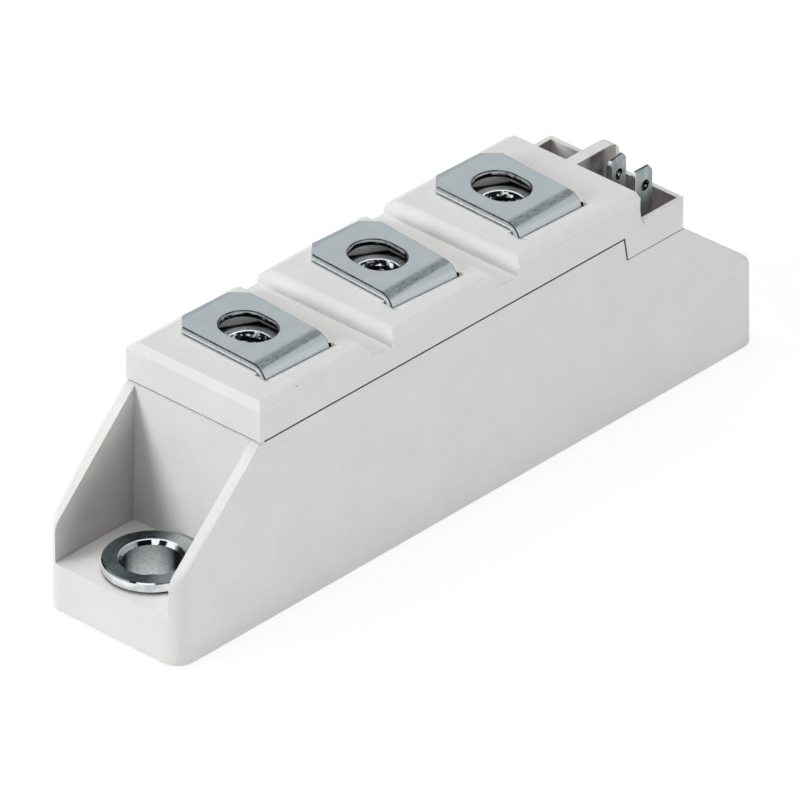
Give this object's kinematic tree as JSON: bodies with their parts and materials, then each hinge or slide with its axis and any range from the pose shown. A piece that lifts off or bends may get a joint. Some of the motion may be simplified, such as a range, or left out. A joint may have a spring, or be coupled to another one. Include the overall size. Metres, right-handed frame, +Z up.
{
  "type": "thyristor power module",
  "caption": "Slim insulated power half-bridge module: metal base, moulded case with flanged end bushings, slotted screw terminals on raised lands and gate tabs in an open end box.",
  "frame": {"origin": "under the middle of the module, on the cooling face of its base", "axes": "+X along the module towards the gate tabs, -Y towards the long side beside the terminals' bends, +Z up through the terminals"},
  "size_m": [0.093, 0.02, 0.0285],
  "materials": {
    "moulding": "light grey glass-filled polyester, fine moulded satin",
    "base_metal": "nickel-plated copper, ground flat",
    "turned_steel": "turned steel, zinc plated",
    "tinned_copper": "rolled copper sheet with a satin tin plating",
    "ceramic": "white alumina ceramic",
    "copper": "bare copper",
    "silicon": "passivated silicon chip",
    "lead_sleeve": "red silicone insulation"
  },
  "bodies": {
    "root": {"housing": "moulding", "lid": "moulding", "base_plate": "base_metal", "bushing_front": "turned_steel", "bushing_rear": "turned_steel", "terminal_1": "tinned_copper", "terminal_2": "tinned_copper", "terminal_3": "tinned_copper", "nut_1": "turned_steel", "nut_2": "turned_steel", "nut_3": "turned_steel", "gate_tab": "tinned_copper", "cathode_tab": "tinned_copper", "substrate": "ceramic", "track_mid": "copper", "track_minus": "copper", "track_plus": "copper", "diode_chip": "silicon", "thyristor_chip": "silicon", "mid_clip": "copper", "minus_clip": "copper", "gate_lead": "lead_sleeve", "cathode_lead": "lead_sleeve"}
  },
  "joints": []
}
